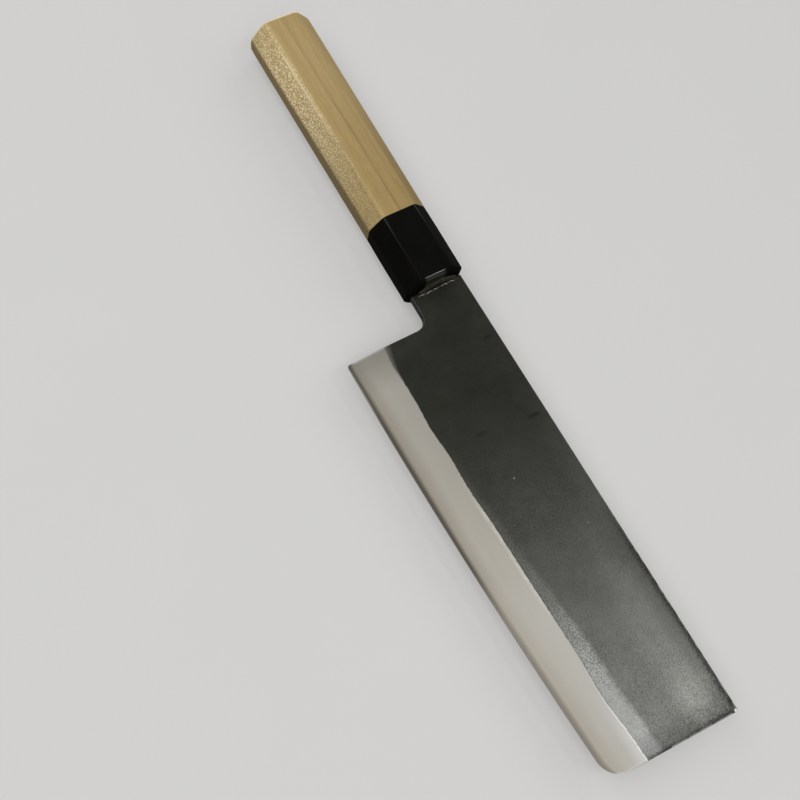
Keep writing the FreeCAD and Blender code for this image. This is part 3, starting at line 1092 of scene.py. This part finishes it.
def forge_scale(spot, x, line, rim):
    """Colour of the scale with its marks, painted shade and a painted highlight, and the mask of its dark
    rim.
    """
    tree = spot.tree
    specks = use(mottle, spot, Size=0.5, Contrast=3.0)
    depth = rim / place(tree, knife_origin).parts()[1].smooth(-10, 8, 1.4, 2.7)
    covered = depth.smooth(1.5, 0, 0, 1.6) + specks * 0.75
    toward_tip = x.smooth(92, 122)
    # The dark rim is partly thicker scale and partly painted shade; the soft rim is painted shade.
    dark_rim = covered.smooth(0.75, 1.5) * toward_tip
    soft_rim_shade = depth.smooth(1.3, 0.1) * toward_tip
    # Painted shade that deepens towards the spine near the tip.
    to_spine = rim.smooth(9, 2) * x.smooth(88, 114, -0.15, 0.15)
    # Painted shadow of the scale's step, just above the bevel line.
    line_shadow = line.smooth(0.65, 0.2) * x.smooth(85, 105) * x.smooth(165, 145)
    shade = (1.0 - dark_rim * 0.5) * (1.0 - line_shadow * 0.25) * (1.0 - soft_rim_shade * 0.3) * (1.0 - to_spine)
    # Painted shade also darkens the very tip.
    colour = (shade * x.smooth(164, 175, 1, 0.9)).tint(scale_tone(spot, x, line))
    for *mark, strength in smudges:
        colour = (soft_mark(tree, *mark) * strength).blend(colour, smudge_dark)

    # Edges are worn where they face up or down, and not on the spine's own wall.
    broken = use(mottle, spot, Size=3.0, Contrast=3.0)
    upward = abs(outward(tree).parts()[2])
    worn = rim.smooth(0.6, 0.3) * x.smooth(60, 140, 0.05, 0.7) * broken.smooth(-0.5, 0.4)
    worn = worn * upward.smooth(0.2, 0.6, 0.2, 1)
    for *mark, strength in nicks:
        worn = worn.at_least(soft_mark(tree, *mark) * strength)
    colour = worn.blend(colour, worn_grey)
    # Painted highlight on the rounded tip corner.
    return soft_mark(tree, *tip_corner).blend(colour, painted_highlight_grey), dark_rim


print(len(smudges), "smudges and", len(nicks), "nicks")

# %% [markdown]
# ## Forged and ground iron
# A cladding carries two finishes on one piece: scale above the bevel line, and below it the bare iron that
# the stone has left. One material blends the two across the line, because on the blade the border is
# ragged, and near the heel, where the stone only grazed the face, it fades out softly. Just below the line
# the iron carries a painted glint, and the upper part of the bevel is a little brighter. Towards the tip it
# is paler and ends in a line of painted highlight, and its rims carry a painted highlight too.

# %% Iron finish
pale_and_highlight_grey = (0.48, 0.475, 0.45)
metal_tint = (0.5, 0.5, 0.5, 1.0)


def iron_finish(tree):
    """Scale and ground iron, blended by a share that is 1 on the bevel and 0 on the scale."""
    spot = place(tree)
    x = place(tree, knife_origin).parts()[0]
    line = measure(tree, "line_distance")
    rim = measure(tree, "rim_distance")
    ragged_line = line + use(mottle, spot, Size=0.9) * 0.12
    softness = x.smooth(13, 32, 1.8, 0.14)
    lift = x.smooth(13, 26, 0.9, 0)
    ground = ((ragged_line - lift) / softness).smooth(1, -1)
    scale, dark_rim = forge_scale(spot, x, line, rim)

    iron = use(ground_metal, spot, Along=x, Edge=measure(tree, "edge_distance"))
    # Paler towards the tip, just below the line.
    paler_at_tip = line.smooth(-5, -0.5) * x.smooth(146, 166, 0, 0.9)
    iron = paler_at_tip.blend(iron, pale_and_highlight_grey)
    bright = use(mottle, spot, Size=4.0, Contrast=2.0)
    # Painted glint just below the bevel line, broken up by mottle; the bevel's upper part is also a little
    # brighter.
    glint = line.smooth(-1.7, -0.5) * x.smooth(62, 84) * x.smooth(126, 108)
    upper = line.smooth(-7, -2, 0, 0.06) * x.smooth(80, 112) * x.smooth(160, 146)
    iron = (glint * bright.smooth(-0.7, 0.5, 0.12, 0.34) + upper + 1.0).tint(iron)
    # Painted highlight: a thin line of light just below the bevel line near the tip.
    line_of_light = line.smooth(-0.5, -0.15) * x.smooth(140, 160)
    iron = line_of_light.blend(iron, painted_highlight_grey)
    # Painted highlight along the rims of the ground iron.
    iron = (rim.smooth(0.8, 0.4) * 0.6).blend(iron, pale_and_highlight_grey)
    grain = spot.noise(1.7, 3.0, 0.6)
    return {"Base Color": ground.blend(scale, iron),
            "Roughness": ground.level(dark_rim * 0.1 + 0.42, 0.36),
            "Normal": bump(ground.level(grain, 0.5), 0.06 * mm),
            "Metallic": 1.0,
            "Specular Tint": metal_tint}


dress([blade_right, blade_left], "forged_iron", iron_finish)

# %% [markdown]
# ## The steel of the edge
# The core comes out below the iron as a strip along the edge. It has the same ground tone, but it is
# harder and takes a finer polish. On the spine and under the neck it is a hairline, as dark as the scale.

# %% Core finish
def core_finish(tree):
    """Ground steel near the edge, and oxide as dark as the scale further up."""
    spot = place(tree)
    x = place(tree, knife_origin).parts()[0]
    edge = measure(tree, "edge_distance")
    marks = use(brushed, spot, Width=0.1, Length=9.0)
    steel = use(ground_metal, spot, Along=x, Edge=edge)
    # The same change from heel to tip as the scale, partly painted light.
    oxide = x.smooth(45, 180).blend(scale_heel, scale_tip)
    oxide = (marks * 0.15 + 1.0).tint(oxide)
    return {"Base Color": edge.smooth(7, 9).blend(steel, oxide),
            "Roughness": marks * 0.03 + 0.35,
            "Metallic": 1.0,
            "Specular Tint": metal_tint}


dress([blade_core], "edge_steel", core_finish)

# %% [markdown]
# ## Magnolia wood
# Magnolia is pale, fine and even. Growth rings cross the handle on a slant: on the broad flat each one
# shows as a soft line with one sharp side, running the length of the grip. Rays run square to the rings,
# so the slanted facet on the edge side, which is cut along them, shows them as short bright flecks. All
# of it is solid texture: rings, rays and fibres have their directions in space, and every facet shows
# its own cut through them.

# %% Rings and rays
ring_spacing = 2.9
ring_start = 1.07
rings_to_hard_winter = 5
grain_turn = (-facet_lean, 0, 0)


def in_wood(tree, along=1.0, radial=1.0, tangential=1.0):
    """Place in the wood's own directions, stretched so that a grain of noise has these lengths in mm."""
    return place(tree, knife_origin, grain_turn, (1 / along, 1 / radial, 1 / tangential))


def ring_lines(slow, radial):
    """Darkness of the rings: each one begins suddenly and fades along the radius; hard winters are darker."""
    sway = (slow.noise() - 0.5) * 1.2
    year = (radial + ring_start + sway) / ring_spacing
    late = (1.0 - year.fraction()) ** 4.0
    winters = (year - 3.0) / rings_to_hard_winter
    return late * 0.08 + (1.0 - winters.fraction()) ** 28.0 * 0.18


def ray_facet(radial, tangential):
    """Share of a facet that is cut along the rays: it fades over the facet's edges, by depth in the wood."""
    return abs(tangential).smooth(10.3, 11.4) * radial.smooth(-6.6, -5.4)


print("ring spacing, mm:", ring_spacing)

# %% [markdown]
# ## Wood with painted shade and light
# The upright sides are darkened with painted shade, the far facet carries a painted tone that is darker
# towards the ferrule, and a painted highlight runs as a pale line along the edge of the flecked facet near
# the butt. The butt shows end grain, which drinks more oil and is darker, and its rim is pale, partly sanded
# and partly a painted highlight. Bare wood has almost no gloss, so the shader's specular level is close to
# nothing.

# %% Wood finish
wood_dark = (0.355, 0.253, 0.108)
wood_light = (0.415, 0.306, 0.140)
wood_warm = (0.375, 0.262, 0.102)
fleck_pale = (0.78, 0.665, 0.43)
fleck_shade = (0.31, 0.22, 0.1)
pale_highlight = (0.84, 0.72, 0.47)


def painted_light_and_end_grain(wood, tone, x, radial):
    """Wood with its tone, painted shade and highlights that follow the direction of the surface, and darker
    end grain.
    """
    normal = outward(x.tree)
    square = (0.0, -np.sin(facet_lean), np.cos(facet_lean))
    cut = add_node(x.tree, "VectorMath", {0: normal, 1: square}, "Value", operation="DOT_PRODUCT")
    endways, across, up = normal.parts()
    # Painted light: the far facet is darker towards the ferrule and brighter towards the butt.
    far = across.smooth(0.5, 0.7) * up.smooth(0.3, 0.5)
    # Painted shade on the upright sides.
    side_shade = 1.0 - abs(across).smooth(0.79, 0.96) * 0.34
    wood = (tone * side_shade * far.level(1.0, x.smooth(-45, -95, 0.9, 1.14))).tint(wood)
    # Painted highlight: a pale line along the rounded edge of the flecked facet near the butt.
    brightened = cut.smooth(0.9, 0.96) * cut.smooth(0.9995, 0.995) * radial.smooth(0, 1)
    brightened = brightened * x.smooth(-50, -98) * x.smooth(-116, -105)
    wood = (brightened * 0.6).blend(wood, pale_highlight)
    endwise = abs(endways)
    wood = endwise.smooth(0.9, 0.99, 1, 0.88).tint(wood)
    # The butt's rim is pale, partly sanded and partly a painted highlight.
    sanded_rim_highlight = (x + handle_length / mm).smooth(1.5, 0.9) * endwise.smooth(0.985, 0.6, 0.1, 0.9)
    return sanded_rim_highlight.blend(wood, pale_highlight)


def wood_finish(tree):
    """Pale wood with ray flecks, then its tone: fibres, streaks and rings, and brighter towards the butt."""
    x, radial, tangential = in_wood(tree).parts()
    slow = in_wood(tree, 60, 14, 14)
    fibre = in_wood(tree, 7, 0.45, 0.45).noise(1.0, 3.0, 0.6)
    streak = in_wood(tree, 40, 1.6, 1.6).noise()
    rays = in_wood(tree, 0.6, 0.55, 0.18).noise(1.0, 2.0, 0.7)
    facing = ray_facet(radial, tangential)
    strength = x.smooth(-30, -80, 0.5, 1.12) * x.smooth(-122, -98, 0.7, 1)
    strength = strength * facing.level(0.1, 1.0) * radial.smooth(-2, 3, 1.05, 0.75)
    fleck = rays.smooth(0.44, 0.62) * strength
    shade = rays.smooth(0.44, 0.32) * strength

    wood = use(mottle, slow, Size=1.0, Contrast=1.2).smooth(-1, 1).blend(wood_dark, wood_light)
    wood = x.smooth(-100, -30, 0, 0.6).blend(wood, wood_warm)
    wood = (fleck * 0.8).blend(wood, fleck_pale)
    wood = (shade * 0.6).blend(wood, fleck_shade)
    tone = x.smooth(-25, -115, 0.95, 1.1) * radial.smooth(3, 11, 1.04, 0.95)
    tone = tone + (fibre - 0.5) * 0.42 + (streak - 0.5) * facing.level(0.2, 0.32) - ring_lines(slow, radial)
    tone = tone * facing.level(0.965, x.smooth(-45, -100, 0.97, 1.05))
    tone = tone * facing.level(1.0, radial.smooth(-5.5, 2.5, 0.94, 1.06))
    return {"Base Color": painted_light_and_end_grain(wood, tone, x, radial),
            "Roughness": fleck * -0.08 + 0.5,
            "Normal": bump(fibre, 0.02 * mm),
            "Specular IOR Level": 0.03}


dress([grip], "magnolia_wood", wood_finish)

# %% [markdown]
# ## Buffalo horn
# Black horn is almost without colour, with faint brown streaks along its growth. A buffing wheel bears on
# its broad flats and hardest on its edges. They carry the polish, here a clear coat, and show lines of
# light, while the narrow sides stay dull and black.

# %% Horn finish
horn_black = (0.0047, 0.0047, 0.0042)
horn_brown = (0.0085, 0.007, 0.0055)


def horn_polish(tree):
    """Share of the coat: some on the broad flats, more on the long edges, most on the nose's front edge."""
    x, y = place(tree, knife_origin).parts()[:2]
    across, up = [abs(part) for part in outward(tree).parts()[1:]]
    flats = up.smooth(0.96, 0.995, 0, 0.12)
    edges = up.smooth(0.8, 0.9) * across.smooth(0.15, 0.3) * x.smooth(-6, -24, 0.05, 0.25)
    nose = x.smooth(-1.9, -1.5) * y.smooth(-5.4, -4.2) * y.smooth(4, 2.2)
    return (flats + edges + nose).at_most(1.0)


def horn_finish(tree):
    """Black horn with brown streaks, slow clouds and the fine marks of the wheel."""
    spot = place(tree)
    streaks = use(brushed, spot, Width=1.6, Length=40.0)
    marks = use(brushed, spot, Width=0.12, Length=5.0)
    clouds = use(mottle, spot, Size=8.0)
    horn = streaks.smooth(0.1, 1).blend(horn_black, horn_brown)
    return {"Base Color": (clouds * 0.15 + 1.0).tint(horn),
            "Roughness": marks * 0.04 + 0.16,
            "Coat Weight": horn_polish(tree),
            "Coat Roughness": 0.12,
            "IOR": 1.02}


dress([ferrule], "buffalo_horn", horn_finish)

# %% [markdown]
# ## Resin
# The resin is dull olive-brown and a little gritty. Next to the mouth's wall it carries a painted highlight,
# before the lip a dark line of painted shadow, and its thin lip is pale with a painted highlight. These are
# bands of one measure, the share of the way from the mouth's wall to the lip.

# %% Resin finish
resin_olive = (0.042, 0.039, 0.023)
resin_rim_highlight = (0.085, 0.078, 0.058)
resin_shadow = (0.003, 0.003, 0.002)
resin_lip_and_highlight = (0.5, 0.48, 0.38)
grit_size = 0.3


def resin_finish(tree):
    """Olive resin with a painted highlight at the wall, painted shadow before the lip, and a pale broken lip
    with a painted highlight.
    """
    spot = place(tree)
    lip = measure(tree, "lip_share")
    grit = spot.noise(1 / grit_size, 1.0, 0.6).smooth(0.45, 0.61)
    clouds = use(mottle, spot, Size=2.0)
    breaks = use(mottle, spot, Size=1.3, Contrast=3.0)
    resin = (clouds * 0.35 + 1.0).tint(resin_olive)
    # Painted highlight next to the mouth's wall.
    resin = (lip.smooth(0.2, 0.08) * 0.8).blend(resin, resin_rim_highlight)
    # Painted shadow: a dark line before the lip.
    resin = (lip.smooth(0.46, 0.62) * 0.96).blend(resin, resin_shadow)
    # The lip is pale resin and also carries a painted highlight.
    resin = (lip.smooth(0.89, 0.95) * breaks.smooth(-0.6, 0.5, 0.2, 1)).blend(resin, resin_lip_and_highlight)
    return {"Base Color": resin,
            "Roughness": grit * 0.15 + 0.45,
            "Normal": bump(grit, 0.04 * mm),
            "Specular IOR Level": 0.2}


dress([seal], "olive_resin", resin_finish)

# %% [markdown]
# ## Floor
# The knife lies on a plain pale floor, which sweeps up into a round wall far behind. Part of their
# paleness is a faint glow that only the camera and mirror reflections see. So the floor throws less light
# up at the handle's sides, and it still takes the knife's shadow.

# %% Floor
floor_grey = (0.36, 0.357, 0.352)
glow_white = (1.0, 0.995, 0.98)
floor_reach = 2.6
floor_bend = 1.0
wall_height = 2.4


def floor_finish(tree):
    """Matt pale grey, with a glow for some rays only, a little stronger up the wall."""
    spot = place(tree)
    tone = use(mottle, spot, Size=60.0) * 0.01 + 1.0
    rays = ["Is Camera Ray", "Is Glossy Ray", "Is Transmission Ray"]
    camera_ray, glossy_ray, transmission_ray = [add_node(tree, "LightPath", {}, ray) for ray in rays]
    seen = (camera_ray + glossy_ray + transmission_ray).at_most(1.0)
    glow = seen * spot.parts()[2].smooth(0, 700, 0.28, 0.5)
    return {"Base Color": tone.tint(floor_grey),
            "Emission Color": glow.tint(glow_white),
            "Emission Strength": 1.0,
            "Roughness": 0.9,
            "Specular IOR Level": 0.1}


def stage_floor(reach, bend, height):
    """Floor and wall in one sweep: straight out to reach, up in a quarter circle, then straight up."""
    rounds = 96
    here = np.arange(rounds)
    turn = here * 2 * np.pi / rounds
    rise = np.linspace(0, np.pi / 2, 17)
    out = np.append(reach + bend * np.sin(rise), reach + bend)
    up = np.append(bend * (1 - np.cos(rise)), height)
    sides = [np.outer(out, np.cos(turn)), np.outer(out, np.sin(turn)), up[:, None]]
    points = np.stack(np.broadcast_arrays(*sides), axis=-1)
    after = np.roll(here, -1)
    strip = np.stack([here + rounds, after + rounds, after, here], axis=-1)
    walls = strip + rounds * np.arange(len(out) - 1)[:, None, None]
    mesh = bpy.data.meshes.new("floor")
    mesh.from_pydata(points.reshape(-1, 3).tolist(), [], [here.tolist()] + walls.reshape(-1, 4).tolist())
    mesh.shade_smooth()
    floor = bpy.data.objects.new("floor", mesh)
    bpy.context.scene.collection.objects.link(floor)
    dress([floor], "pale_floor", floor_finish)


stage_floor(floor_reach, floor_bend, wall_height)

# %% [markdown]
# ## Light
# Metal looks like what it mirrors, so the lights are placed by their reflections. A wide panel hangs over
# the edge side: the bevel leans towards it and mirrors it all along, while the scale mirrors the gap
# beyond the panel's border and stays dark. A small bright lamp stands where the scale near the tip
# mirrors it, and its dull glow fades along the blade to the heel. A panel beyond the butt lifts the
# handle's end, and a low panel behind lights the handle's far side. An even sky fills the rest.

# %% Light
sky_strength = 0.12


def panel(name, stand, aim, size, turn, strength):
    """A soft panel that shines along aim, turned about it, with a brightness of strength times white."""
    light = bpy.data.lights.new(name, "AREA")
    light.shape = "RECTANGLE"
    light.size, light.size_y = size
    light.energy = strength * np.pi * size[0] * size[1]
    lamp = bpy.data.objects.new(name, light)
    lamp.location = stand
    facing = Vector(aim).to_track_quat("-Z", "Y")
    lamp.rotation_euler = (facing @ Quaternion((0, 0, 1), np.radians(turn))).to_euler()
    bpy.context.scene.collection.objects.link(lamp)


def even_sky(strength):
    """A white sky that is equally bright in all directions."""
    world = bpy.data.worlds.new("even_sky")
    bpy.context.scene.world = world
    world.use_nodes = True
    fill(world.node_tree.nodes["Background"], {"Color": (1, 1, 1, 1), "Strength": strength})


panel("wide_panel", (0.179, -0.53, 1.1), (0, 0, -1), (3.4, 1.3), 7, 1.5)
panel("tip_lamp", (0.455, 0.51, 1.1), (-0.3, -0.46, -1), (0.25, 0.17), 0, 12.5)
panel("butt_panel", (-1.25, -0.35, 0.75), (1.25, 0.35, -0.75), (0.8, 0.6), 0, 2.0)
panel("low_panel", (0.0, 1.31, 0.92), (0, -1.31, -0.92), (2.4, 0.8), 0, 1.6)
even_sky(sky_strength)
bpy.context.scene.view_settings.view_transform = "Standard"

# %% [markdown]
# ## Sizes
# The dressed pieces should agree in size with the plain solids, because every surface was worked out in
# place of its solid.
